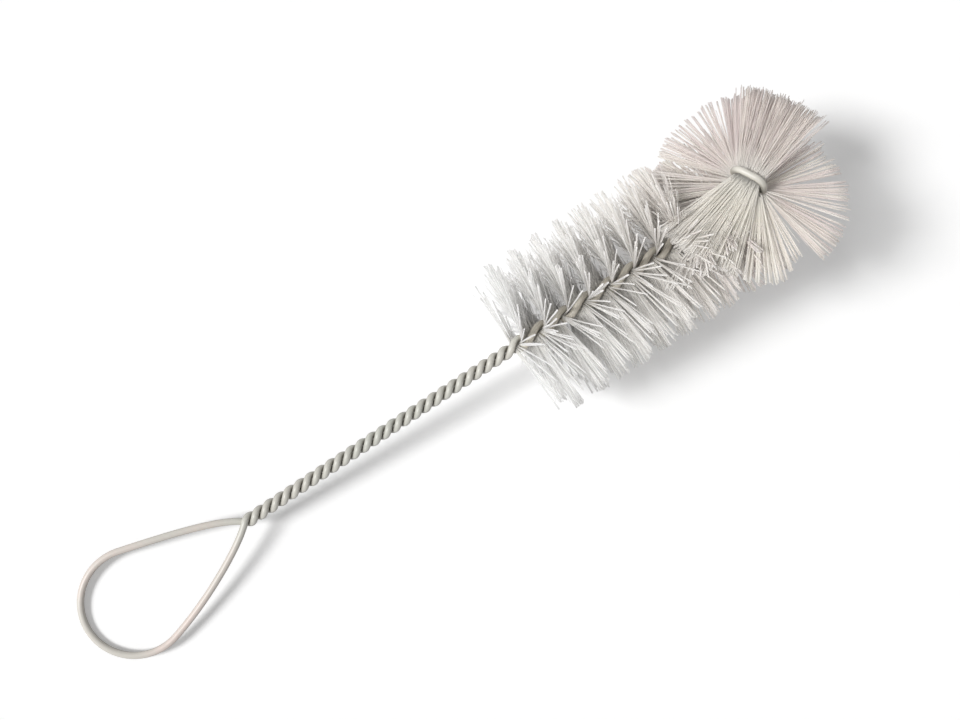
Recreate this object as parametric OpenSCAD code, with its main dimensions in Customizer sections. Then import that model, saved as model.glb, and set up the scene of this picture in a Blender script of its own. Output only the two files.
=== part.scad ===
// Bottle brush with a loop handle.
//
// One coated wire is folded in the middle to make the handle loop. Its two
// halves are twisted together, first tightly as a bare stem and then loosely
// round a pack of bristles, which stand out as a two-bladed spiral. At the far
// end the stem bends up, so that the last bristles fan out as a round head, and
// one half of the wire bends over and back in among them.
//
// Millimetres. The brush lies on a table on its first bristles and the end of
// its loop. +X runs from the handle to the head, +Z is up, and the origin is on
// the table under the middle of the brush.
//
// Inside the modules, a station is a distance along the stem's own centre line,
// measured from the first bristle: it is negative on the bare stem.

/* [Wire] */
// Outside diameter of the coated wire
wire_d = 2.5; // [2:0.1:2.8]
// Clearance between the two strands where they are twisted tightly
strand_gap = 0.1; // [0.05:0.05:0.3]
// Angle between the strands and the axis of the bare stem
stem_lay = 44; // [30:1:45]
// Length of the bare stem, from the loop to the first bristle
stem_length = 112; // [60:1:180]

/* [Handle loop] */
// Length of the loop, from the end of the twist to the loop's far end
loop_length = 68; // [55:1:90]
// Outside width of the loop at its round end
loop_width = 39.5; // [30:0.5:46]
// Sideways distance of the round end from the line of the stem
loop_shift = 2.3; // [0:0.1:6]
// Angle between the stem and the sides of the loop where they meet the round end
loop_flank = 15; // [8:1:20]

/* [Bristles] */
// Diameter over the bristles along the straight part
brush_d = 60; // [44:1:70]
// Diameter over the bristles of the head
head_d = 64; // [44:1:74]
// Thickness of one bristle
bristle_d = 0.5; // [0.4:0.05:0.6]
// Length of stem that the spiral of bristles takes for half a turn
half_turn = 9.5; // [8:0.25:12]
// Half turns of bristles, counting those of the head
half_turns = 11; // [8:1:14]
// Angle between the first bristles and the upright
first_blade = 15; // [0:5:60]
// Tufts that make up each half turn
tufts = 9; // [6:1:10]
// Bristles on each side of a tuft
tuft_bristles = 6; // [3:1:7]
// Distance between the strands, where the bristles pass through
bristle_pack = 1; // [0.9:0.05:1.6]
// Difference in length between the longest and the shortest bristles
raggedness = 1.2; // [0:0.1:3]
// Depth to which the lowest bristles are pressed short by the table
table_press = 2; // [0.5:0.1:2.5]

/* [Head] */
// Radius of the bend that turns the stem up into the head
bend_r = 8; // [7:0.5:12]
// Angle by which the head leans to one side
head_lean = 20; // [0:1:30]
// Straight length of stem between the bend and the last bristle
head_rise = 4; // [0:0.5:8]
// Distance between the legs of the wire's return bend
return_width = 11.5; // [9:0.5:14]
// Height of the return bend above the last bristle
return_height = 8.5; // [7.5:0.5:12]
// Radius of the two corners of the return bend
return_corner = 3.8; // [3:0.1:4.2]
// Length of the cut end that is tucked back down
tucked_end = 5.5; // [4:0.5:6]

/* [Hidden] */
ring_name = function (k) str("bristles_", k < 9 ? "0" : "", k + 1);

// Facets round the wire, and degrees between its sections along a bend or twist
wire_sides = 8;
section_step = 30;

wire_r = wire_d / 2;
tight_r = wire_r + strand_gap / 2;
loose_r = wire_r + bristle_pack / 2;
stem_turn = 360 * tight_r * PI / 180 / tan(stem_lay);
brush_turn = 2 * half_turn;
// Length over which the tight twist of the stem opens out to the bristles
run_out = 6;

// Where the stem bends, and where the bristles of the head begin and end
bend_length = bend_r * PI / 2;
last_bristle = half_turns * half_turn;
bend_start = last_bristle - head_rise - bend_length;
head_start = last_bristle - half_turn;
head_x = bend_start + bend_r;
// Bristles that point into the bend stop this far from its centre
bend_clearance = 1.5;

// Height of the first bristle's root, and the stem's slope up from the loop
root_height = brush_d / 2 - table_press;
handle_reach = stem_length + loop_length - wire_r;
stem_slope = asin((root_height - wire_r) / handle_reach);
head_r = head_d / 2 - raggedness;
head_height = bend_r + head_rise;
left_reach = max(brush_d / 2, head_height * sin(head_lean) + head_r * cos(head_lean));
right_reach = max(brush_d / 2, head_r * cos(head_lean) - head_height * sin(head_lean));
front_reach = (head_x + head_r) * cos(stem_slope) - head_height * sin(stem_slope);
back_reach = handle_reach * cos(stem_slope) + wire_r;
middle = [(front_reach - back_reach) / 2, (left_reach - right_reach) / 2];
table_up = [sin(stem_slope), 0, cos(stem_slope)];

// ---- centre line of the stem ----

forward = [1, 0, 0];
bend_up = [0, sin(head_lean), cos(head_lean)];
bend_side = [0, cos(head_lean), -sin(head_lean)];

// Angle turned by the bend at a station
function bent(s) = min(max((s - bend_start) / bend_r * 180 / PI, 0), 90);
function along(s) = cos(bent(s)) * forward + sin(bent(s)) * bend_up;
function inward(s) = cos(bent(s)) * bend_up - sin(bent(s)) * forward;
function centre(s) =
    min(s, bend_start) * forward
    + bend_r * (sin(bent(s)) * forward + (1 - cos(bent(s))) * bend_up)
    + max(s - last_bristle + head_rise, 0) * bend_up;
function height(point) = root_height + point * table_up;

// Unit vector across the stem at an angle from the side of the bend
function spoke(s, angle) = cos(angle) * bend_side + sin(angle) * inward(s);

// ---- twist ----

// Turns of the strands from the first bristle to a station; the rate changes
// evenly along the run-out
function turns(s) =
    let (tight = 1 / stem_turn, loose = 1 / brush_turn)
    s > 0 ? s * loose
    : s > -run_out ? s * loose + (loose - tight) * s * s / (2 * run_out)
    : (s + run_out) * tight - run_out * (tight + loose) / 2;

// Angle of the bristle blades, measured like the angle of a spoke
function blade(s) = 90 + head_lean + first_blade - 360 * turns(s);

function eased(t) = let (u = min(max(t, 0), 1)) u * u * (3 - 2 * u);
function strand_r(s) = loose_r + (tight_r - loose_r) * eased(-s / run_out);
// side is 1 or -1, one for each strand
function strand(s, side) = centre(s) + strand_r(s) * spoke(s, blade(s) - side * 90);

// ---- route of the wire ----

function unit(v) = v / norm(v);
function bezier(a, b, c, d, t) =
    a * pow(1 - t, 3) + 3 * b * t * pow(1 - t, 2) + 3 * c * t * t * (1 - t) + d * pow(t, 3);
function arc(middle, x, y, r, from, to) =
    let (n = max(round(abs(to - from) / section_step * 1.5), 2))
    [for (i = [0:n]) let (a = from + (to - from) * i / n) middle + r * (cos(a) * x + sin(a) * y)];
function reversed(list) = [for (i = [len(list) - 1:-1:0]) list[i]];
function without_ends(list) = [for (i = [1:len(list) - 2]) list[i]];

// The twist ends at the loop where one strand lies right over the other
function crossings(s) = 2 * turns(s) - (90 + first_blade) / 180;
wanted_end = -stem_length;
odd_turn = crossings(wanted_end) - round(crossings(wanted_end));
twist_end = wanted_end - odd_turn * stem_turn / 2;

// Stations at even steps of twist along the stem, the run-out and the bristles
stem_steps = round((-run_out - twist_end) / stem_turn * 360 / section_step);
run_out_steps = 6;
brush_steps = round(last_bristle / brush_turn * 360 / section_step);
stations = concat(
    [for (i = [0:stem_steps - 1]) twist_end + (-run_out - twist_end) * i / stem_steps],
    [for (i = [0:run_out_steps - 1]) -run_out + run_out * i / run_out_steps],
    [for (i = [0:brush_steps]) last_bristle * i / brush_steps]
);
function strand_path(side) = [for (s = stations) strand(s, side)];

// The handle loop, from the lower strand round to the upper one
round_r = (loop_width - wire_d) / 2;
round_middle = [-stem_length - loop_length + wire_r + round_r, -loop_shift, 0];
neck_pull = 0.12 * loop_length;
flank_pull = 0.24 * loop_length;
left = [0, 1, 0];
up = [0, 0, 1];
loop_steps = 10;
function on_round(a) = round_middle + round_r * (cos(a) * forward + sin(a) * left);
function round_way(a) = cos(a) * left - sin(a) * forward;
function half_loop(a, side) =
    let (
        neck = [twist_end, 0, -side * tight_r],
        away = side * sin(stem_lay) * left - cos(stem_lay) * forward,
        flank = on_round(a) - side * flank_pull * round_way(a)
    )
    [for (i = [0:loop_steps - 1])
        bezier(neck, neck + neck_pull * away, flank, on_round(a), i / loop_steps)];
flank_angle = 90 - loop_flank;
loop_path = concat(
    half_loop(flank_angle, 1),
    arc(round_middle, forward, left, round_r, flank_angle, 360 - flank_angle),
    reversed(half_loop(-flank_angle, -1))
);

// The return bend, from the end of its strand over to the tucked end
return_side = -1;
head_top = centre(last_bristle);
across = spoke(last_bristle, blade(last_bristle) - return_side * 90);
leg = return_width / 2;
crown = return_height - wire_r;
corner_x = leg - return_corner;
corner_z = crown - return_corner;
return_start = strand(last_bristle, return_side);
return_way = unit(return_start - strand(last_bristle - 0.01, return_side));
leg_top = head_top + leg * across + corner_z * bend_up;
leg_steps = 6;
return_path = concat(
    [for (i = [1:leg_steps - 1]) bezier(
        return_start, return_start + corner_z / 2 * return_way,
        leg_top - corner_z / 2 * bend_up, leg_top, i / leg_steps
    )],
    arc(head_top + corner_x * across + corner_z * bend_up, across, bend_up, return_corner, 0, 90),
    arc(head_top - corner_x * across + corner_z * bend_up, across, bend_up, return_corner, 90, 180),
    [head_top - leg * across + (corner_z - tucked_end) * bend_up]
);

loop_is_left = cos(blade(twist_end) - head_lean) * return_side > 0;
wire_path = concat(
    reversed(return_path),
    reversed(strand_path(return_side)),
    without_ends(loop_is_left ? loop_path : reversed(loop_path)),
    strand_path(-return_side)
);

// ---- bristles ----

tuft_angle = 180 / tufts;
tuft_spacing = half_turn / tufts;
bristle_angle = tuft_angle / tuft_bristles;
// The bristles of a tuft stand apart beyond this distance from the stem
merged_r = 1.3 * bristle_d / 2 / tan(bristle_angle / 2);
// A tuft passes between the strands as a narrow strip
strip_w = 0.7 * bristle_pack;
strip_reach = 1.4 * wire_r;
link_w = 0.6 * bristle_pack;
least_slope = 0.001;
shortest_free = 2 * bristle_d;
// Large factors that make the lengths of neighbouring bristles differ
scatter_along = 2003;
scatter_round = 7.3;

// Bristles near the bend that point into it end under those of the head
function crowded(s) = s < head_start && s > head_x - head_d / 2 - bend_clearance;
function raggedness_at(s, angle) =
    raggedness * abs(sin(scatter_along * s / half_turn + scatter_round * angle));
function reach(s, angle) =
    let (
        way = spoke(s, angle),
        full = (s > head_start ? head_d : brush_d) / 2 - raggedness_at(s, angle),
        to_table = height(centre(s)) / max(-way * table_up, least_slope),
        to_bend = (bend_r - bend_clearance) / max(sin(angle), least_slope)
    )
    min(full, to_table, crowded(s) ? to_bend : full);

// Outline of one bristle, or of its merged root where it is cut off short
function bristle(angle, length) =
    let (
        way = [cos(angle), sin(angle)],
        half_w = [-sin(angle), cos(angle)] * bristle_d / 2
    )
    length < merged_r + shortest_free ? [min(length, merged_r) * way]
    : [merged_r * way - half_w, length * way - half_w, length * way + half_w, merged_r * way + half_w];

function half_tuft(s, turned) = concat(
    [[strip_reach, -strip_w / 2]],
    [for (i = [0:tuft_bristles - 1])
        let (angle = (i + 0.5) * bristle_angle - tuft_angle / 2)
        each bristle(angle, reach(s, blade(s) + turned + angle))],
    [[strip_reach, strip_w / 2]]
);

// Places its children across the stem, with X along the bristle blade
module at_station(s) {
    x = spoke(s, blade(s));
    y = cross(along(s), x);
    z = along(s);
    p = centre(s);
    multmatrix([
        [x[0], y[0], z[0], p[0]],
        [x[1], y[1], z[1], p[1]],
        [x[2], y[2], z[2], p[2]],
        [0, 0, 0, 1]
    ])
        children();
}

// Lays the brush down on the table
module laid() {
    translate([-middle[0], -middle[1], root_height])
        rotate([0, -stem_slope, 0])
            children();
}

// ---- sub-parts ----

function carried(v, way) = unit(v - (v * way) * way);

// Round bar along a path, with its facets carried along without twisting
module bar(path) {
    last = len(path) - 1;
    ways = [for (i = [0:last]) unit(path[min(i + 1, last)] - path[max(i - 1, 0)])];
    sides = [
        for (i = 0, v = carried([1, 1, 1], ways[0]); i <= last; i = i + 1, v = i > last ? v : carried(v, ways[i]))
            v
    ];
    points = [
        for (i = [0:last], k = [0:wire_sides - 1])
            let (a = 360 * k / wire_sides)
            path[i] + wire_r * (cos(a) * sides[i] + sin(a) * cross(ways[i], sides[i]))
    ];
    walls = [
        for (i = [0:last - 1], k = [0:wire_sides - 1])
            let (
                a = i * wire_sides + k,
                b = i * wire_sides + (k + 1) % wire_sides
            )
            each [[a, b, b + wire_sides], [a, b + wire_sides, a + wire_sides]]
    ];
    start = [for (k = [wire_sides - 1:-1:0]) k];
    end = [for (k = [0:wire_sides - 1]) last * wire_sides + k];
    polyhedron(points, reversed_faces(concat(walls, [start, end])));
}
function reversed_faces(faces) = [for (f = faces) reversed(f)];

module wire() {
    color("ivory")
        laid()
            bar(wire_path);
}

module tuft(s) {
    at_station(s)
        linear_extrude(bristle_d, center = true)
            polygon(concat(half_tuft(s, 0), -half_tuft(s, 180)));
}

// Half a turn of bristles: a full circle of tufts, joined where they cross
module bristle_ring(k) {
    first = (k + 0.5 / tufts) * half_turn;
    color("whitesmoke")
        laid() {
            for (i = [0:tufts - 1])
                tuft(first + i * tuft_spacing);
            for (i = [0.5:tufts - 1.5])
                at_station(first + i * tuft_spacing)
                    cube([link_w, link_w, tuft_spacing], center = true);
        }
}

wire();
for (k = [0:half_turns - 1]) {
    bristle_ring(k);
}
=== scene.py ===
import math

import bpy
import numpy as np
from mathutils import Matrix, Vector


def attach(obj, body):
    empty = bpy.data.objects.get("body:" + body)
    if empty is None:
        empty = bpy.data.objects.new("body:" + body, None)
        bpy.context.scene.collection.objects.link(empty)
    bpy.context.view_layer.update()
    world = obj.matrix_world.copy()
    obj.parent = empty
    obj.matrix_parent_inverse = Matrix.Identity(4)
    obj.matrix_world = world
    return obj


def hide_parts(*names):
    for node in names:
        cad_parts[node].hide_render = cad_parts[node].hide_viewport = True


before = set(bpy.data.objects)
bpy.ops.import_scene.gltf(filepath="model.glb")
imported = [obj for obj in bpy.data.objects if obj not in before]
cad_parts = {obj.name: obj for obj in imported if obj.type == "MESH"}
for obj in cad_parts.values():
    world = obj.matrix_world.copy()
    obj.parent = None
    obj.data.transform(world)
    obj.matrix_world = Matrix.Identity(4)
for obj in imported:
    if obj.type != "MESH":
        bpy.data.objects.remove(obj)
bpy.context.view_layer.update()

# Bottle brush: the coated wire and its nylon bristles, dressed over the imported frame.
#
# Metres, in the frame's own axes: +X runs from the handle to the head, +Y is left and
# +Z is up. The wire follows the centre line, twist and sizes of the CAD part, apart
# from FIRST_BLADE and CUT_SHORT, and so do the bristles of the straight part. Those of
# the head are longer, spread round the return bend and hang back, as photographed.
#
# A station is a distance along the stem's centre line from the first bristle, and it
# is negative on the bare stem.

MM = 0.001

# ---- sizes that the CAD part has too ----

WIRE_R = 1.25 * MM
STRAND_GAP = 0.1 * MM  # between the strands where they are twisted tightly
STEM_LAY = math.radians(44)  # angle between the strands and the bare stem
STEM_LENGTH = 112 * MM
LOOP_LENGTH = 68 * MM
LOOP_WIDTH = 39.5 * MM
LOOP_SHIFT = 2.3 * MM  # from the line of the stem to the middle of the round end
LOOP_FLANK = math.radians(15)
BRUSH_R = 30 * MM
HEAD_R = 32 * MM
HALF_TURN = 9.5 * MM  # length of stem that the bristles take for half a turn
HALF_TURNS = 11
BRISTLE_PACK = 1 * MM  # between the strands where the bristles pass through
RAGGEDNESS = 1.2 * MM
TABLE_PRESS = 2 * MM
BEND_R = 8 * MM
HEAD_LEAN = math.radians(20)
HEAD_RISE = 4 * MM  # straight stem between the bend and the last bristle
RETURN_WIDTH = 11.5 * MM
RETURN_HEIGHT = 8.5 * MM
RETURN_CORNER = 3.8 * MM
TUCKED_END = 5.5 * MM
RUN_OUT = 6 * MM  # length over which the tight twist opens out to the bristles
NECK_PULL = 0.12 * LOOP_LENGTH
FLANK_PULL = 0.24 * LOOP_LENGTH
RETURN_SIDE = -1  # the strand that makes the return bend

# ---- where the scene departs from it ----

# The CAD part has 15 degrees, and 5 fits the photographed tufts better
FIRST_BLADE = math.radians(5)
CUT_SHORT = 3 * MM  # from the end of the other strand up to the last bristle

# ---- what follows from these ----

TIGHT_R = WIRE_R + STRAND_GAP / 2
LOOSE_R = WIRE_R + BRISTLE_PACK / 2
TIGHT_RATE = math.tan(STEM_LAY) / TIGHT_R  # radians of twist per metre
LOOSE_RATE = math.pi / HALF_TURN
LAST_BRISTLE = HALF_TURNS * HALF_TURN
BEND_START = LAST_BRISTLE - HEAD_RISE - BEND_R * math.pi / 2
HEAD_START = LAST_BRISTLE - HALF_TURN
ROOT_HEIGHT = BRUSH_R - TABLE_PRESS
HANDLE_REACH = STEM_LENGTH + LOOP_LENGTH - WIRE_R
STEM_SLOPE = math.asin((ROOT_HEIGHT - WIRE_R) / HANDLE_REACH)
ROUND_R = LOOP_WIDTH / 2 - WIRE_R
ROUND_MIDDLE = np.array([WIRE_R + ROUND_R - STEM_LENGTH - LOOP_LENGTH, -LOOP_SHIFT, 0.0])

FORWARD = np.array([1.0, 0.0, 0.0])
LEFT = np.array([0.0, 1.0, 0.0])
BEND_UP = np.array([0.0, math.sin(HEAD_LEAN), math.cos(HEAD_LEAN)])
BEND_SIDE = np.array([0.0, math.cos(HEAD_LEAN), -math.sin(HEAD_LEAN)])


# ---- small helpers ----

def column(values):
    return np.atleast_1d(np.asarray(values, float))[:, None]


def unit(v):
    return v / np.linalg.norm(v, axis=-1, keepdims=True)


def eased(t):
    """Rises smoothly from 0 to 1 as t does."""
    t = np.clip(t, 0, 1)
    return t * t * (3 - 2 * t)


# ---- centre line and twist ----

def bent(s):
    return np.clip((s - BEND_START) / BEND_R, 0, math.pi / 2)


def along(s):
    a = column(bent(s))
    return np.cos(a) * FORWARD + np.sin(a) * BEND_UP


def inward(s):
    a = column(bent(s))
    return np.cos(a) * BEND_UP - np.sin(a) * FORWARD


def centre(s):
    a = column(bent(s))
    straight = column(np.minimum(s, BEND_START))
    risen = column(np.maximum(s - LAST_BRISTLE + HEAD_RISE, 0))
    bend = BEND_R * (np.sin(a) * FORWARD + (1 - np.cos(a)) * BEND_UP)
    return straight * FORWARD + bend + risen * BEND_UP


def spoke(s, angle):
    """Unit vectors across the stem, at an angle from the side of the bend."""
    angle = column(angle)
    return np.cos(angle) * BEND_SIDE + np.sin(angle) * inward(s)


def twist(s):
    """Angle turned by the strands from the first bristle to a station."""
    opening = s * LOOSE_RATE + (LOOSE_RATE - TIGHT_RATE) * s * s / (2 * RUN_OUT)
    tight = (s + RUN_OUT) * TIGHT_RATE - RUN_OUT * (TIGHT_RATE + LOOSE_RATE) / 2
    return np.where(s > 0, s * LOOSE_RATE, np.where(s > -RUN_OUT, opening, tight))


def blade(s):
    """Angle of the blade of bristles at a station, measured like that of a spoke."""
    return math.pi / 2 + HEAD_LEAN + FIRST_BLADE - twist(s)


def strand(s, side):
    """Middle of a strand. side is 1 or -1, one for each strand."""
    s = np.atleast_1d(np.asarray(s, float))
    radius = LOOSE_R + (TIGHT_R - LOOSE_R) * eased(-s / RUN_OUT)
    return centre(s) + column(radius) * spoke(s, blade(s) - side * math.pi / 2)


def first_bristle_place():
    """X and Y of the first bristle, so that the brush is centred as the CAD part is."""
    head_r = HEAD_R - RAGGEDNESS
    head_height = BEND_R + HEAD_RISE
    lean_shift = head_height * math.sin(HEAD_LEAN)
    left = max(BRUSH_R, lean_shift + head_r * math.cos(HEAD_LEAN))
    right = max(BRUSH_R, head_r * math.cos(HEAD_LEAN) - lean_shift)
    cos = math.cos(STEM_SLOPE)
    sin = math.sin(STEM_SLOPE)
    front = (BEND_START + BEND_R + head_r) * cos - head_height * sin
    back = HANDLE_REACH * cos + WIRE_R
    return [(back - front) / 2, (right - left) / 2]


FIRST_BRISTLE = np.array([*first_bristle_place(), ROOT_HEIGHT])


def laid(points):
    """From the stem's own axes to the frame's, where the brush lies on the table."""
    cos = math.cos(STEM_SLOPE)
    sin = math.sin(STEM_SLOPE)
    x, y, z = points[..., 0], points[..., 1], points[..., 2]
    return np.stack([
        FIRST_BRISTLE[0] + x * cos - z * sin,
        FIRST_BRISTLE[1] + y,
        FIRST_BRISTLE[2] + x * sin + z * cos,
    ], -1)


# ---- route of the wire ----

# Points along each stretch of the route
TURN_STEPS = 40
RUN_OUT_STEPS = 30
LOOP_SIDE_STEPS = 48
LOOP_ROUND_STEPS = 64
LEG_STEPS = 14
CORNER_STEPS = 10
TUCKED_STEPS = 5
STEP_BACK = 0.01 * MM  # for the direction in which a strand ends


def bezier(a, b, c, d, count):
    t = column(np.linspace(0, 1, count, endpoint=False))
    return a * (1 - t) ** 3 + 3 * b * t * (1 - t) ** 2 + 3 * c * t * t * (1 - t) + d * t ** 3


def arc(middle, x, y, r, start, end, count):
    a = column(np.linspace(start, end, count))
    return middle + r * (np.cos(a) * x + np.sin(a) * y)


def end_of_twist():
    """The crossing of the strands nearest to the wanted length of the stem."""
    crossings = float(twist(-STEM_LENGTH) - math.pi / 2 - FIRST_BLADE) / math.pi
    return -STEM_LENGTH - (crossings - round(crossings)) * math.pi / TIGHT_RATE


TWIST_END = end_of_twist()


def half_loop(angle, side):
    """From a strand's end at the neck of the loop to its round end."""
    neck = np.array([TWIST_END, 0.0, -side * TIGHT_R])
    away = side * math.sin(STEM_LAY) * LEFT - math.cos(STEM_LAY) * FORWARD
    on_round = ROUND_MIDDLE + ROUND_R * (math.cos(angle) * FORWARD + math.sin(angle) * LEFT)
    round_way = math.cos(angle) * LEFT - math.sin(angle) * FORWARD
    flank = on_round - side * FLANK_PULL * round_way
    return bezier(neck, neck + NECK_PULL * away, flank, on_round, LOOP_SIDE_STEPS)


def loop_route():
    """From the lower strand round to the upper one."""
    angle = math.pi / 2 - LOOP_FLANK
    far_angle = 2 * math.pi - angle
    return np.concatenate([
        half_loop(angle, 1),
        arc(ROUND_MIDDLE, FORWARD, LEFT, ROUND_R, angle, far_angle, LOOP_ROUND_STEPS),
        half_loop(-angle, -1)[::-1],
    ])


def return_route(side):
    """From the end of one strand over the return bend to the tucked end."""
    top = centre(LAST_BRISTLE)[0]
    across = spoke(LAST_BRISTLE, blade(LAST_BRISTLE) - side * math.pi / 2)[0]
    leg = RETURN_WIDTH / 2
    corner_x = leg - RETURN_CORNER
    corner_z = RETURN_HEIGHT - WIRE_R - RETURN_CORNER
    start = strand(LAST_BRISTLE, side)[0]
    way = unit(start - strand(LAST_BRISTLE - STEP_BACK, side)[0])
    pull = corner_z / 2
    leg_top = top + leg * across + corner_z * BEND_UP
    rise = bezier(start, start + pull * way, leg_top - pull * BEND_UP, leg_top, LEG_STEPS)
    corners = [
        arc(top + way_out * corner_x * across + corner_z * BEND_UP, across, BEND_UP,
            RETURN_CORNER, first, first + math.pi / 2, CORNER_STEPS)
        for way_out, first in ((1, 0), (-1, math.pi / 2))
    ]
    bottom = top - leg * across + (corner_z - TUCKED_END) * BEND_UP
    down = np.linspace(corners[1][-1], bottom, TUCKED_STEPS)[1:]
    return np.concatenate([rise[1:], *corners, down])


def wire_route():
    """The whole wire, from the tucked end through the loop to the other cut end."""
    tight = round((-RUN_OUT - TWIST_END) * TIGHT_RATE / (2 * math.pi) * TURN_STEPS)
    loose = round(LAST_BRISTLE * LOOSE_RATE / (2 * math.pi) * TURN_STEPS)
    s = np.concatenate([
        np.linspace(TWIST_END, -RUN_OUT, tight, endpoint=False),
        np.linspace(-RUN_OUT, 0, RUN_OUT_STEPS, endpoint=False),
        np.linspace(0, LAST_BRISTLE, loose),
    ])
    loop_is_left = math.cos(blade(TWIST_END) - HEAD_LEAN) * RETURN_SIDE > 0
    loop = loop_route()[1:]
    return laid(np.concatenate([
        return_route(RETURN_SIDE)[::-1],
        strand(s, RETURN_SIDE)[::-1],
        loop if loop_is_left else loop[::-1],
        strand(s[s < LAST_BRISTLE - CUT_SHORT], -RETURN_SIDE),
    ]))


# ---- mesh code ----

FIRST_ACROSS = [0.31, 0.17, 0.93]  # any direction that isn't along a path's start


def carried_across(path):
    """Two directions across a path, square to each other and carried along untwisted."""
    ways = unit(np.gradient(path, axis=0))
    across = np.empty_like(path)
    v = unit(np.cross(ways[0], FIRST_ACROSS))
    for i, way in enumerate(ways):
        v = v - v.dot(way) * way
        v /= np.linalg.norm(v)
        across[i] = v
    return across, np.cross(ways, across)


def circles(across, up, sides):
    """A unit circle of points for each pair of directions."""
    angles = np.linspace(0, 2 * math.pi, sides, endpoint=False)[:, None]
    return np.cos(angles) * across[:, None] + np.sin(angles) * up[:, None]


def tube_faces(rings, sides):
    i = np.arange(rings - 1)[:, None]
    k = np.arange(sides)[None, :]
    a = i * sides + k
    b = i * sides + (k + 1) % sides
    return np.stack([a, b, b + sides, a + sides], -1).reshape(-1, 4)


def end_caps(start, rings, sides):
    """The two end faces of a tube whose points begin at an index."""
    last = start + (rings - 1) * sides
    return [
        list(range(start, start + sides))[::-1],
        list(range(last, last + sides)),
    ]


def mesh_object(name, points, quads, caps=()):
    """A smooth mesh of quads, with flat end caps."""
    mesh = bpy.data.meshes.new(name)
    faces = [*quads.tolist(), *caps]
    mesh.from_pydata(points.tolist(), [], faces)
    smooth = np.ones(len(faces), bool)
    smooth[len(quads):] = False
    mesh.polygons.foreach_set("use_smooth", smooth)
    mesh.update()
    obj = bpy.data.objects.new(name, mesh)
    bpy.context.scene.collection.objects.link(obj)
    return obj


def attribute(obj, name, values):
    made = obj.data.attributes.new(name, "FLOAT", "POINT")
    made.data.foreach_set("value", np.asarray(values, np.float32).ravel())


# ---- wire ----

WIRE_SIDES = 20
# The grooves' shade grows over the start of the twist and fades past the first bristle
TWIST_FADE_IN = 3 * MM
TWIST_FADE_OUT = 2 * MM
# How far a normal points away from the stem where the shade begins, and over what it grows
GROOVE_EDGE = 0.45
GROOVE_FADE = 0.9
# The same for how far a normal points up, and how strong the shade is underneath
LOW_EDGE = 0.62
LOW_FADE = 0.75
LOW_SHADE = 0.75
# Painted shade: the wire is darker where it is among the bristles, which shade it, up to a
# little below the bar of the return bend
BRISTLE_SHADE_FADE = 2 * MM
BAR_DEPTH = 5 * MM
BAR_FADE = 3 * MM


def shaded_sides(path, normals):
    """Near 1 in the grooves between the strands, less underneath, and 0 away from both."""
    slope = np.array([math.cos(STEM_SLOPE), 0, math.sin(STEM_SLOPE)])
    s = (path - FIRST_BRISTLE) @ slope
    from_axis = unit(path - FIRST_BRISTLE - column(s) * slope)
    in_twist = eased((s - TWIST_END) / TWIST_FADE_IN) * eased(1 - s / TWIST_FADE_OUT)
    facing_out = (normals * from_axis[:, None]).sum(-1)
    groove = eased((GROOVE_EDGE - facing_out) / GROOVE_FADE) * column(in_twist)
    low = eased((LOW_EDGE - normals[..., 2]) / LOW_FADE)
    return np.maximum(groove, LOW_SHADE * low)


def wire_piece():
    path = wire_route()
    ring = circles(*carried_across(path), WIRE_SIDES)
    points = path[:, None] + WIRE_R * ring
    obj = mesh_object(
        "coated_wire", points.reshape(-1, 3),
        tube_faces(len(path), WIRE_SIDES), end_caps(0, len(path), WIRE_SIDES),
    )
    # Painted shade: near 1 where the bristles surround the wire, fading out towards the bar
    below_bar = path[:, 2].max() - BAR_DEPTH
    past_first = eased((path[:, 0] - FIRST_BRISTLE[0]) / BRISTLE_SHADE_FADE)
    among = past_first * eased((below_bar - path[:, 2]) / BAR_FADE)
    attribute(obj, "painted_bristle_shade", np.repeat(among, WIRE_SIDES))
    attribute(obj, "shaded_side", shaded_sides(path, ring))
    return obj


# ---- bristles ----

# Thick filaments make the tufts, and fine ones fill in between them
BRISTLE_R = 0.30 * MM
FINE_R = 0.12 * MM
RADIUS_SPREAD = (0.88, 1.1)
HEAD_THICKER = 0.2  # share by which they are thicker in the head
FILAMENT_SIDES = 4
FILAMENT_STEPS = 8
TUFTS = 9  # on each blade of a half turn
PER_TUFT = 9
HEAD_PER_TUFT = 15
HEAD_HALF_TURNS = 2  # how many half turns have the fuller tufts
FINE_PER_BLADE = 400  # in each half turn
TUFT_CLING = 3  # filaments that keep together
FINE_CLING = 2
FIRST_EARLY = 0.25  # share of a half turn by which the bristles begin early
STATION_SCATTER = 0.3 * MM

# Angles in radians by which groups that cling and single filaments leave their blade
GROUP_SCATTER = 0.035
HEAD_GROUP_MORE = 0.3  # share by which groups turn further in the head
TURN_SCATTER = 0.025
HEAD_TURN_LESS = 0.2  # share by which single filaments turn less far in the head
LEAN_SCATTER = 0.02
FINE_STRAY = 0.085  # how much more fine filaments lean
LEFT_TURN = 0.25  # how much more they turn on the left

# The first bristles lean towards the head, and those before the bend away from it
FIRST_LEAN = math.radians(3.5)
LATER_LEAN = math.radians(-2.5)
LEAN_ENDS = 75 * MM

# Shares of the full length. Fine filaments end short of the thick ones.
FULL_REACH = (1, 1)
FINE_REACH = (0.64, 0.93)

# How much shorter filaments are than that, in parts of RAGGEDNESS
RAGGED_SPREAD = 0.5
RAGGED_MOST = 1.8

# How far tips are bowed off straight, along the stem and across it
BOW_ALONG = 0.5 * MM
BOW_ASIDE = 0.6 * MM

# Few bristles stand up towards the camera, and those splay, most on the right
STANDING_STARTS = 0.5
STANDING_GROWS = 0.35
STANDING_KEPT = 0.45
SPLAY_MIDDLE = 0.6
SPLAY_TO_RIGHT = 1.5
SPLAY_LEAST = 0.1
SPLAY_LEAN = math.radians(7)
SPLAY_SPREAD = 0.07

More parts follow.
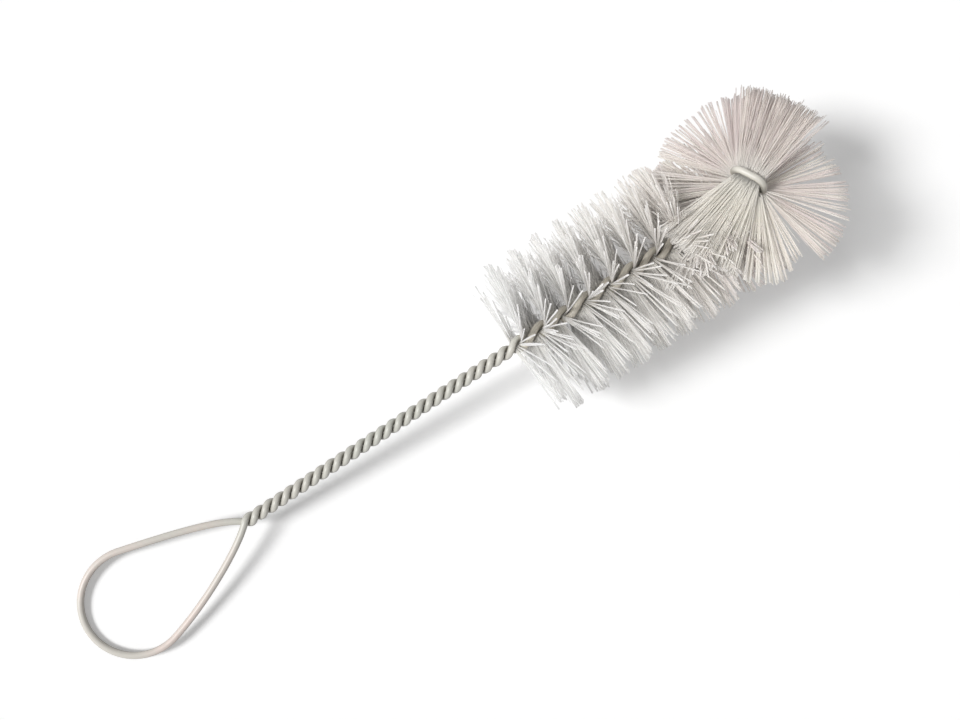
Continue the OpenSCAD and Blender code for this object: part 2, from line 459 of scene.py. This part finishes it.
# On the left some thick filaments are left out. Fine ones are left out where bristles
# stand up, and most of them on the right and in the head.
LEFT_STARTS = 0.1
LEFT_GROWS = 0.4
LEFT_KEPT = 0.65
RIGHT_FINE_KEPT = 0.4
HEAD_FINE_KEPT = 0.07

# Bristles that would stand up through the head lie beneath it, higher on the right,
# and turn back towards the handle and aside
CROWD_STARTS = 68 * MM
CROWD_GROWS = 8 * MM
CROWD_RIGHT = 1.5
CROWD_MIDDLE = 0.3
CROWD_BACK = 0.35
CROWD_ASIDE = 0.25
LEFT_CEILING = 3.5 * MM
RIGHT_CEILING = 20 * MM

# The last bristles come out beside the two legs of the return bend and rise round it
LEG_SHIFT = 5.0 * MM
SHIFT_STARTS = LAST_BRISTLE - 11 * MM
HEAD_BLADE_TURN = math.radians(-12)
FAN_AHEAD = 4 * MM  # how much further along the stem their directions are taken
FAN_GROWS = 5 * MM
TOP_RAISED = 5.2 * MM
RAISE_STARTS = LAST_BRISTLE - 9.5 * MM
RAISE_GROWS = 4.5 * MM
ROOT_SHARE = 0.1  # share of a filament's length, from its root, that takes up the shift

# The head's bristles hang back, more on the left, and reach furthest at the front right
LEFT_DROOP = math.radians(-10)
RIGHT_DROOP = math.radians(-9)
DROOP_LEFT = 0.8
DROOP_MIDDLE = 0.3
HEAD_GROWTH = 1.05
HEAD_REACH = 0.14
NOTCH_DEPTH = 0.3
NOTCH_BEARING = -94  # degrees from forward, and negative on the right
NOTCH_WIDTH = 9  # degrees

# Two tufts come out from under the bar of the return bend, to the front and the back
END_TUFT = 340  # filaments in each
END_TUFT_R = 0.16 * MM
END_TUFT_TOP = 5.4 * MM  # height of the highest roots above the last bristle
END_TUFT_LOWEST = 0.5  # share of that height at which the lowest are
END_TUFT_FAN = 0.28  # radians from the middle of a tuft to its edge
END_TUFT_SCATTER = 0.06
END_TUFT_DROOP = 0.4  # share of the right side's droop
DROOP_SCATTER = 0.2
END_TUFT_BOW = 0.9 * MM
FRONT_TUFT_TURN = math.radians(7)
BACK_TUFT_TURN = math.radians(-4)

# Tints run from 0, pinkish and darker, to 1, cream and lighter, partly the head's own tone and
# partly painted light and shade. The head is creamier towards the handle, and its back tuft
# creamier than its front one.
PAINTED_LIGHT_WAY = np.array([-0.87, -0.5, 0.0])
CREAM_SHARE = 0.75
CREAM_MIDDLE = 0.25
CREAM_GROWS = 0.75
FRONT_TUFT_TINTS = (0.15, 0.65)
BACK_TUFT_TINTS = (0.85, 1)

# Filaments that would go through the table lie on it, and slide outwards a little
REST_HEIGHT = BRISTLE_R * 1.15
REST_SLIDE = 0.6

UPRIGHT = 0.9  # filaments nearer the upright than this take X to find their sections
TINY = 1e-5  # filaments that reach less far than this over the table slide forward
NOT_ZERO = 1e-9


def filament_mesh(name, lines, radii, tints):
    """Many thin tubes in one mesh: lines is (count, steps, 3), radii and tints (count)."""
    count, steps, _ = lines.shape
    sides = FILAMENT_SIDES
    way = unit(lines[:, -1] - lines[:, 0])
    helper = np.where(np.abs(way[:, 2:3]) > UPRIGHT, [[1.0, 0, 0]], [[0, 0, 1.0]])
    across = unit(np.cross(way, helper))
    ring = circles(across, np.cross(way, across), sides)
    points = lines[:, :, None] + radii[:, None, None, None] * ring[:, None]
    starts = np.arange(count) * steps * sides
    quads = (starts[:, None, None] + tube_faces(steps, sides)[None]).reshape(-1, 4)
    caps = [cap for start in starts.tolist() for cap in end_caps(start, steps, sides)]
    obj = mesh_object(name, points.reshape(-1, 3), quads, caps)
    attribute(obj, "strand_tint", np.repeat(tints, steps * sides))
    out = np.tile(np.repeat(np.linspace(0, 1, steps), sides), count)
    attribute(obj, "strand_out", out)
    return obj


def tufted(k, rng):
    """Stations of the thick bristles on one blade of a half turn, and groups that cling."""
    per_tuft = PER_TUFT if k < HALF_TURNS - HEAD_HALF_TURNS else HEAD_PER_TUFT
    count = TUFTS * per_tuft
    along_turn = (np.arange(count) + 0.5) / count
    if k == 0:
        along_turn = along_turn * (1 + FIRST_EARLY) - FIRST_EARLY
    s = (k + along_turn) * HALF_TURN + rng.normal(0, STATION_SCATTER, count)
    return np.minimum(s, LAST_BRISTLE), np.arange(count) // TUFT_CLING


def scattered(k, rng):
    """Stations of the fine bristles on one blade of a half turn, and groups that cling."""
    s = (k + rng.uniform(0, 1, FINE_PER_BLADE)) * HALF_TURN
    return s, np.arange(FINE_PER_BLADE) // FINE_CLING


def to_last(s, start):
    """Rises from 0 at a station to 1 at the last bristle."""
    return eased((s - start) / (LAST_BRISTLE - start))


def blade_angles(s, turned, group_turn, stray, rng):
    """Angles round the stem. turned is 0 or pi, one for each of the two blades."""
    in_head = to_last(s, HEAD_START)
    head_turn = HEAD_BLADE_TURN * to_last(s, SHIFT_STARTS)
    angle = blade(s) + turned + head_turn + group_turn * (1 + HEAD_GROUP_MORE * in_head)
    angle = angle + rng.normal(0, TURN_SCATTER, len(s)) * (1 - HEAD_TURN_LESS * in_head)
    if stray:
        loose = LEFT_TURN * eased(np.cos(angle)) * (s < HEAD_START)
        angle = angle + loose * rng.normal(0, 1, len(s))
    return angle


def head_droop(way):
    """How far the head's bristles hang back, more on the left than on the right."""
    left = eased(way @ BEND_SIDE * DROOP_LEFT + DROOP_MIDDLE)
    return RIGHT_DROOP + (LEFT_DROOP - RIGHT_DROOP) * left


def leaning_ways(s, angle, standing, group_lean, stray, rng):
    """Directions of the bristles, leaning along the stem."""
    ahead = FAN_AHEAD * eased((s - BEND_START) / FAN_GROWS)
    out = spoke(s + ahead, angle)
    lean = FIRST_LEAN + (LATER_LEAN - FIRST_LEAN) * np.clip(s / LEAN_ENDS, 0, 1)
    lean = lean + group_lean + rng.normal(0, LEAN_SCATTER + stray, len(s))
    splay = standing * np.clip(SPLAY_MIDDLE - SPLAY_TO_RIGHT * (out @ LEFT), SPLAY_LEAST, 1)
    lean = lean + splay * (SPLAY_LEAN + SPLAY_SPREAD * rng.normal(0, 1, len(s)))
    lean = lean + to_last(s, HEAD_START) * head_droop(out)
    return unit(out + column(np.tan(lean)) * along(s))


def notch(way):
    """How much shorter the head's bristles are in the gap on its right."""
    bearing = np.degrees(np.arctan2(way @ LEFT, way @ FORWARD))
    return NOTCH_DEPTH * np.exp(-((bearing - NOTCH_BEARING) / NOTCH_WIDTH) ** 2)


def bristle_lengths(s, way, reach, rng):
    full = np.where(s > HEAD_START, HEAD_R, BRUSH_R)
    ragged = np.abs(rng.normal(0, RAGGED_SPREAD, len(s))).clip(0, RAGGED_MOST)
    length = (full - RAGGEDNESS * ragged) * rng.uniform(*reach, len(s))
    in_head = to_last(s, HEAD_START)
    towards_right = way @ unit(FORWARD - LEFT)
    length = length * (1 + in_head * (HEAD_GROWTH - 1 + HEAD_REACH * towards_right))
    return length * (1 - in_head * notch(way))


def crowded_down(s, way, length):
    """Turns bristles near the bend, which would stand up through the head, down beneath it."""
    crowd = eased((s - CROWD_STARTS) / CROWD_GROWS) * (s < HEAD_START)
    root_up = centre(s) @ BEND_UP
    right_side = eased(-(way @ BEND_SIDE) * CROWD_RIGHT + CROWD_MIDDLE)
    ceiling = LEFT_CEILING + (RIGHT_CEILING - LEFT_CEILING) * right_side
    up = way @ BEND_UP
    allowed = np.minimum(up, (ceiling - root_up) / length)
    target = up + crowd * (allowed - up)
    flat = way - column(up) * BEND_UP
    flat = flat - column(CROWD_BACK * crowd * (up > 0)) * FORWARD
    side = np.where(way @ BEND_SIDE > 0, 1.0, -1.0)
    flat = flat + column(CROWD_ASIDE * crowd * (up > 0) * side) * BEND_SIDE
    flat = unit(flat)
    bent_way = flat * column(np.sqrt(1 - target ** 2)) + column(target) * BEND_UP
    return np.where(column(crowd * (up > allowed)) > 0, bent_way, way)


def bowed(root, way, length, bow):
    """Lines from each root to its tip, bowed a little off straight."""
    t = np.linspace(0, 1, FILAMENT_STEPS)
    line = root[:, None] + (length[:, None] * t)[..., None] * way[:, None]
    return line + (t * t)[None, :, None] * bow[:, None]


def round_return(line, s, turned):
    """Moves lines out beside the legs of the return bend and up, from near their roots."""
    from_root = eased(np.linspace(0, 1, FILAMENT_STEPS) / ROOT_SHARE)
    leg_side = -1 if turned else 1
    across = spoke(s, blade(np.full(len(s), LAST_BRISTLE)) + math.pi / 2)
    shift = leg_side * LEG_SHIFT * to_last(s, SHIFT_STARTS)
    line = line + (shift[:, None] * from_root)[..., None] * across[:, None]
    raised = TOP_RAISED * eased((s - RAISE_STARTS) / RAISE_GROWS)
    return line + (raised[:, None] * from_root)[..., None] * BEND_UP


def kept_bristles(s, way, standing, stray, rng):
    """Which bristles stay: fewer that stand up, and few fine ones right and in the head."""
    # Fine filaments take this draw too and don't use it
    chance = rng.uniform(0, 1, len(s))
    if not stray:
        left = eased((way @ LEFT - LEFT_STARTS) / LEFT_GROWS) * (s < HEAD_START)
        return chance > np.maximum((1 - STANDING_KEPT) * standing, (1 - LEFT_KEPT) * left)
    right_chance = rng.uniform(0, 1, len(s))
    head_chance = rng.uniform(0, 1, len(s))
    on_right = (way @ LEFT < LEFT_STARTS) & (s < HEAD_START)
    thinned = on_right & (right_chance > RIGHT_FINE_KEPT)
    in_head = (s > HEAD_START) & (head_chance > HEAD_FINE_KEPT)
    return (standing == 0) & ~thinned & ~in_head


def blade_lines(stations, turned, rng, radius, stray, reach):
    """Centre lines of filaments on one blade, their radii and their tints."""
    s, group = stations
    count = len(s)
    in_head = to_last(s, HEAD_START)
    group_turn = rng.normal(0, GROUP_SCATTER, group[-1] + 1)[group]
    group_lean = rng.normal(0, GROUP_SCATTER, group[-1] + 1)[group]
    angle = blade_angles(s, turned, group_turn, stray, rng)
    standing = eased((np.sin(angle - HEAD_LEAN) - STANDING_STARTS) / STANDING_GROWS)
    standing = standing * (s < CROWD_STARTS)
    way = leaning_ways(s, angle, standing, group_lean, stray, rng)
    length = bristle_lengths(s, way, reach, rng)
    way = crowded_down(s, way, length)
    bow = column(rng.normal(0, BOW_ALONG, count)) * along(s)
    bow = bow + column(rng.normal(0, BOW_ASIDE, count)) * np.cross(way, along(s))
    line = round_return(bowed(centre(s), way, length, bow), s, turned)
    radii = radius * rng.uniform(*RADIUS_SPREAD, count) * (1 + HEAD_THICKER * in_head)
    # Painted light and shade: head strands creamier towards the handle, pinker away from it
    lit_cream = eased(CREAM_MIDDLE + CREAM_GROWS * (way @ PAINTED_LIGHT_WAY))
    tint = rng.uniform(0, 1, count)
    tint = tint + in_head * CREAM_SHARE * (lit_cream - tint)
    kept = kept_bristles(s, way, standing, stray, rng)
    return laid(line)[kept], radii[kept], tint[kept]


def end_tuft(turned, rng):
    """Filaments held side by side under the bar of the return bend."""
    at = np.full(END_TUFT, LAST_BRISTLE)
    across = spoke(at, blade(at) - math.pi / 2)
    spot = rng.uniform(-1, 1, END_TUFT)
    height = END_TUFT_TOP * column(rng.uniform(END_TUFT_LOWEST, 1, END_TUFT))
    root = centre(at) + column(spot) * (RETURN_WIDTH / 2 - WIRE_R) * across + height * BEND_UP
    fan = END_TUFT_FAN * spot * (1 if turned else -1)
    turn = BACK_TUFT_TURN if turned else FRONT_TUFT_TURN
    angle = blade(at) + turned + turn + fan + rng.normal(0, END_TUFT_SCATTER, END_TUFT)
    droop = rng.normal(END_TUFT_DROOP, DROOP_SCATTER, END_TUFT) * RIGHT_DROOP
    way = unit(spoke(at, angle) + column(np.tan(droop)) * BEND_UP)
    length = HEAD_R * HEAD_GROWTH - RAGGEDNESS * rng.uniform(0, 1, END_TUFT)
    bow = column(rng.normal(0, END_TUFT_BOW, END_TUFT)) * across
    bow = bow + column(rng.normal(0, BOW_ASIDE, END_TUFT)) * BEND_UP
    radii = END_TUFT_R * rng.uniform(*RADIUS_SPREAD, END_TUFT)
    # Painted light and shade: the back tuft creamier, the front one pinker
    tints = rng.uniform(*(BACK_TUFT_TINTS if turned else FRONT_TUFT_TINTS), END_TUFT)
    return laid(bowed(root, way, length, bow)), radii, tints


def rested(lines):
    """Bends filaments that would go through the table so that their tips lie on it."""
    sunk = np.maximum(REST_HEIGHT - lines[:, -1, 2], 0)
    t = np.linspace(0, 1, lines.shape[1])
    way = lines[:, -1, :2] - lines[:, 0, :2]
    size = np.linalg.norm(way, axis=1, keepdims=True)
    way = np.where(size > TINY, way / np.maximum(size, NOT_ZERO), [[1.0, 0.0]])
    bend = (t * t)[None, :] * sunk[:, None]
    lines = lines.copy()
    lines[:, :, 2] += bend
    lines[:, :, :2] += REST_SLIDE * bend[:, :, None] * way[:, None]
    lines[:, :, 2] = np.maximum(lines[:, :, 2], REST_HEIGHT)
    return lines


def bristle_ring(k, rng):
    """Half a turn of the spiral: tufts of filaments on both of its blades."""
    made = []
    for turned in (0, math.pi):
        made.append(blade_lines(tufted(k, rng), turned, rng, BRISTLE_R, 0, FULL_REACH))
        made.append(blade_lines(scattered(k, rng), turned, rng, FINE_R, FINE_STRAY, FINE_REACH))
        if k == HALF_TURNS - 1:
            made.append(end_tuft(turned, rng))
    lines, radii, tints = zip(*made)
    return filament_mesh(
        f"nylon_ring_{k + 1:02d}", rested(np.concatenate(lines)),
        np.concatenate(radii), np.concatenate(tints),
    )


# ---- materials ----

COAT_ROUGHNESS = 0.38
COAT_GREENISH = (0.60, 0.605, 0.55)
COAT_WARM = (0.635, 0.615, 0.56)
COAT_PALE = (0.69, 0.68, 0.62)
LOOP_IVORY = (0.69, 0.655, 0.60)
LOOP_PINKISH = (0.80, 0.69, 0.635)
BAR_IVORY = (0.74, 0.71, 0.64)
GROOVE_SHADE = (0.25, 0.235, 0.20)
# Painted shade: the wire's colour where the bristles shade it
BRISTLE_SHADE_COLOUR = (0.62, 0.58, 0.50)
LOOP_COLOUR_X = (-80 * MM, -120 * MM)  # where it begins and where it is full
BAR_COLOUR_X = (95 * MM, 110 * MM)
# Scale and detail of the noise in the coating, and the range of it that is used
COAT_PATCHES = (38, 1.0)
PATCH_RANGE = (0.4, 0.6)
COAT_GRAIN = (900, 3.0)
GRAIN_RANGE = (0.45, 0.95)
COAT_BUMPS = (1400, 2.0)
COAT_BUMP_STRENGTH = 0.15
COAT_BUMP_DEPTH = 0.1 * MM

NYLON_ROUGHNESS = 0.55
NYLON_COOL = (0.975, 0.98, 0.98)
NYLON_WARM = (0.985, 0.955, 0.915)
NYLON_PINK_AND_SHADE = (0.80, 0.69, 0.68)
NYLON_CREAM_AND_LIGHT = (1.0, 0.97, 0.87)
# Painted shade: the colour at the roots, where the packed bristles shade each other
NYLON_SHADED_ROOT = (0.965, 0.945, 0.89)
NYLON_THROUGH = (0.99, 0.985, 0.98)
THROUGH_SHARE = 0.6
WARM_COLOUR_X = (20 * MM, 90 * MM)
HEAD_COLOUR_X = (80 * MM, 115 * MM)
ROOT_SHADE_SPAN = (0.0, 0.35)  # shares of a filament's length

# The numbers of a Mix node's colour sockets
MIX_A = 6
MIX_B = 7
MIX_RESULT = 2


def material(name, roughness):
    made = bpy.data.materials.new(name)
    made.use_nodes = True
    shader = made.node_tree.nodes["Principled BSDF"]
    shader.inputs["Roughness"].default_value = roughness
    return made, made.node_tree, shader


def mixed(tree, factor, a, b):
    """A colour between a and b, each a colour or a socket, by a factor socket."""
    node = tree.nodes.new("ShaderNodeMix")
    node.data_type = "RGBA"
    tree.links.new(factor, node.inputs["Factor"])
    for value, socket in ((a, node.inputs[MIX_A]), (b, node.inputs[MIX_B])):
        if isinstance(value, bpy.types.NodeSocket):
            tree.links.new(value, socket)
        else:
            socket.default_value = (*value, 1)
    return node.outputs[MIX_RESULT]


def ranged(tree, value, low, high):
    """0 where the value is low, 1 where it is high."""
    node = tree.nodes.new("ShaderNodeMapRange")
    tree.links.new(value, node.inputs["Value"])
    node.inputs["From Min"].default_value = low
    node.inputs["From Max"].default_value = high
    return node.outputs["Result"]


def added(tree, a, b):
    node = tree.nodes.new("ShaderNodeMath")
    node.operation = "ADD"
    tree.links.new(a, node.inputs[0])
    tree.links.new(b, node.inputs[1])
    return node.outputs[0]


def object_place(tree):
    """The place on the object, whole and along X."""
    where = tree.nodes.new("ShaderNodeTexCoord").outputs["Object"]
    split = tree.nodes.new("ShaderNodeSeparateXYZ")
    tree.links.new(where, split.inputs["Vector"])
    return where, split.outputs["X"]


def noise(tree, where, scale, detail):
    node = tree.nodes.new("ShaderNodeTexNoise")
    tree.links.new(where, node.inputs["Vector"])
    node.inputs["Scale"].default_value = scale
    node.inputs["Detail"].default_value = detail
    return node.outputs["Fac"]


def read(tree, name):
    node = tree.nodes.new("ShaderNodeAttribute")
    node.attribute_name = name
    return node.outputs["Fac"]


def wire_material():
    made, tree, shader = material("ivory_coating", COAT_ROUGHNESS)
    where, x = object_place(tree)
    warm = ranged(tree, noise(tree, where, *COAT_PATCHES), *PATCH_RANGE)
    colour = mixed(tree, warm, COAT_GREENISH, COAT_WARM)
    loop_colour = mixed(tree, warm, LOOP_IVORY, LOOP_PINKISH)
    colour = mixed(tree, ranged(tree, x, *LOOP_COLOUR_X), colour, loop_colour)
    colour = mixed(tree, ranged(tree, x, *BAR_COLOUR_X), colour, BAR_IVORY)
    grain = ranged(tree, noise(tree, where, *COAT_GRAIN), *GRAIN_RANGE)
    colour = mixed(tree, grain, colour, COAT_PALE)
    colour = mixed(tree, read(tree, "shaded_side"), colour, GROOVE_SHADE)
    # Painted shade where the wire is among the bristles
    colour = mixed(tree, read(tree, "painted_bristle_shade"), colour, BRISTLE_SHADE_COLOUR)
    tree.links.new(colour, shader.inputs["Base Color"])
    bump = tree.nodes.new("ShaderNodeBump")
    bump.inputs["Strength"].default_value = COAT_BUMP_STRENGTH
    bump.inputs["Distance"].default_value = COAT_BUMP_DEPTH
    tree.links.new(noise(tree, where, *COAT_BUMPS), bump.inputs["Height"])
    tree.links.new(bump.outputs["Normal"], shader.inputs["Normal"])
    return made


def nylon_material():
    """Milky nylon that lets light through, warmer towards the head, with painted shade at the
    roots.
    """
    made, tree, shader = material("white_nylon", NYLON_ROUGHNESS)
    x = object_place(tree)[1]
    body = mixed(tree, ranged(tree, x, *WARM_COLOUR_X), NYLON_COOL, NYLON_WARM)
    # Painted light and shade, partly the head's own tone: darker pinkish and lighter cream
    # strands
    head = mixed(tree, read(tree, "strand_tint"), NYLON_PINK_AND_SHADE, NYLON_CREAM_AND_LIGHT)
    tinted = mixed(tree, ranged(tree, x, *HEAD_COLOUR_X), body, head)
    past_root = ranged(tree, read(tree, "strand_out"), *ROOT_SHADE_SPAN)
    # Painted shade near the roots
    colour = mixed(tree, past_root, NYLON_SHADED_ROOT, tinted)
    tree.links.new(colour, shader.inputs["Base Color"])
    through = tree.nodes.new("ShaderNodeBsdfTranslucent")
    through.inputs["Color"].default_value = (*NYLON_THROUGH, 1)
    both = tree.nodes.new("ShaderNodeMixShader")
    both.inputs["Fac"].default_value = THROUGH_SHARE
    tree.links.new(shader.outputs["BSDF"], both.inputs[1])
    tree.links.new(through.outputs["BSDF"], both.inputs[2])
    tree.links.new(both.outputs["Shader"], tree.nodes["Material Output"].inputs["Surface"])
    return made


# ---- pieces ----

SEED = 7


def dress(obj, coat, node):
    obj.data.materials.append(coat)
    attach(obj, "root")
    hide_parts(node)


dress(wire_piece(), wire_material(), "wire")
nylon = nylon_material()
draws = np.random.default_rng(SEED)
for ring in range(HALF_TURNS):
    dress(bristle_ring(ring, draws), nylon, f"bristles_{ring + 1:02d}")


# ---- floor and light ----

WHITE = (1, 1, 1, 1)
PAPER = 0.96
PAPER_ROUGHNESS = 0.9
FLOOR_REACH = 4.0
# Shares of a white floor's brightness that the surroundings and the lamp give
SKY_SHARE = 0.24
KEY_SHARE = 0.58
KEY_AZIMUTH = math.radians(153)
KEY_ELEVATION = math.radians(43)
KEY_WIDTH = math.radians(16)


def floor_material():
    """White paper, lifted to pure white for the camera alone."""
    made, tree, shader = material("pale_floor", PAPER_ROUGHNESS)
    shader.inputs["Base Color"].default_value = (PAPER, PAPER, PAPER, 1)
    rays = tree.nodes.new("ShaderNodeLightPath")
    lift = tree.nodes.new("ShaderNodeMath")
    lift.operation = "MULTIPLY"
    tree.links.new(rays.outputs["Is Camera Ray"], lift.inputs[0])
    lift.inputs[1].default_value = 1 - PAPER * (SKY_SHARE + KEY_SHARE)
    shader.inputs["Emission Color"].default_value = WHITE
    tree.links.new(lift.outputs[0], shader.inputs["Emission Strength"])
    return made


def floor():
    corners = np.array([[-1, -1, 0], [1, -1, 0], [1, 1, 0], [-1, 1, 0]]) * FLOOR_REACH
    obj = mesh_object("floor", corners, np.array([[0, 1, 2, 3]]))
    obj.data.materials.append(floor_material())


def pointing(azimuth, elevation):
    """Unit vector towards a place in the sky."""
    cos = math.cos(elevation)
    return Vector((cos * math.cos(azimuth), cos * math.sin(azimuth), math.sin(elevation)))


def key_lamp():
    """One soft, distant lamp."""
    light = bpy.data.lights.new("key", "SUN")
    light.angle = KEY_WIDTH
    light.energy = KEY_SHARE * math.pi / math.sin(KEY_ELEVATION)
    obj = bpy.data.objects.new("key", light)
    way = pointing(KEY_AZIMUTH, KEY_ELEVATION)
    obj.rotation_euler = way.to_track_quat("Z", "Y").to_euler()
    bpy.context.scene.collection.objects.link(obj)


def surroundings():
    """Even white light, which the camera and reflections see as a white backdrop."""
    world = bpy.data.worlds.new("studio")
    world.use_nodes = True
    tree = world.node_tree
    lighting = tree.nodes["Background"]
    backdrop = tree.nodes.new("ShaderNodeBackground")
    for node, level in ((lighting, SKY_SHARE), (backdrop, 1)):
        node.inputs["Color"].default_value = WHITE
        node.inputs["Strength"].default_value = level
    rays = tree.nodes.new("ShaderNodeLightPath")
    seen = added(tree, rays.outputs["Is Camera Ray"], rays.outputs["Is Glossy Ray"])
    seen = added(tree, seen, rays.outputs["Is Transmission Ray"])
    either = tree.nodes.new("ShaderNodeMixShader")
    tree.links.new(seen, either.inputs["Fac"])
    tree.links.new(lighting.outputs["Background"], either.inputs[1])
    tree.links.new(backdrop.outputs["Background"], either.inputs[2])
    tree.links.new(either.outputs["Shader"], tree.nodes["World Output"].inputs["Surface"])
    bpy.context.scene.world = world


# ---- camera ----

CAMERA_AZIMUTH = math.radians(166.4)
CAMERA_ELEVATION = math.radians(78.8)
CAMERA_DISTANCE = 0.45
AXIS_IN_PICTURE = math.radians(33.45)
LENS = 48.36
SENSOR_WIDTH = 36
NEAREST_SEEN = 0.01
# The middle of the picture: a height above the origin, then shifts in the picture
AIM_HEIGHT = 25 * MM
AIM_RIGHT = 10.1 * MM
AIM_UP = 8.15 * MM


def camera():
    """Nearly overhead, with the brush's long axis rising to the right of the picture."""
    back = pointing(CAMERA_AZIMUTH, CAMERA_ELEVATION)
    axis = Vector((1, 0, 0))
    axis = (axis - axis.dot(back) * back).normalized()
    other = back.cross(axis)
    right = math.cos(AXIS_IN_PICTURE) * axis - math.sin(AXIS_IN_PICTURE) * other
    up = math.sin(AXIS_IN_PICTURE) * axis + math.cos(AXIS_IN_PICTURE) * other
    aim = Vector((0, 0, AIM_HEIGHT)) + AIM_RIGHT * right + AIM_UP * up
    data = bpy.data.cameras.new("camera")
    data.lens = LENS
    data.sensor_width = SENSOR_WIDTH
    data.clip_start = NEAREST_SEEN
    obj = bpy.data.objects.new("camera", data)
    turn = Matrix((right, up, back)).transposed().to_4x4()
    obj.matrix_world = Matrix.Translation(aim + back * CAMERA_DISTANCE) @ turn
    bpy.context.scene.collection.objects.link(obj)
    bpy.context.scene.camera = obj


floor()
surroundings()
key_lamp()
camera()
bpy.context.scene.view_settings.view_transform = "Standard"
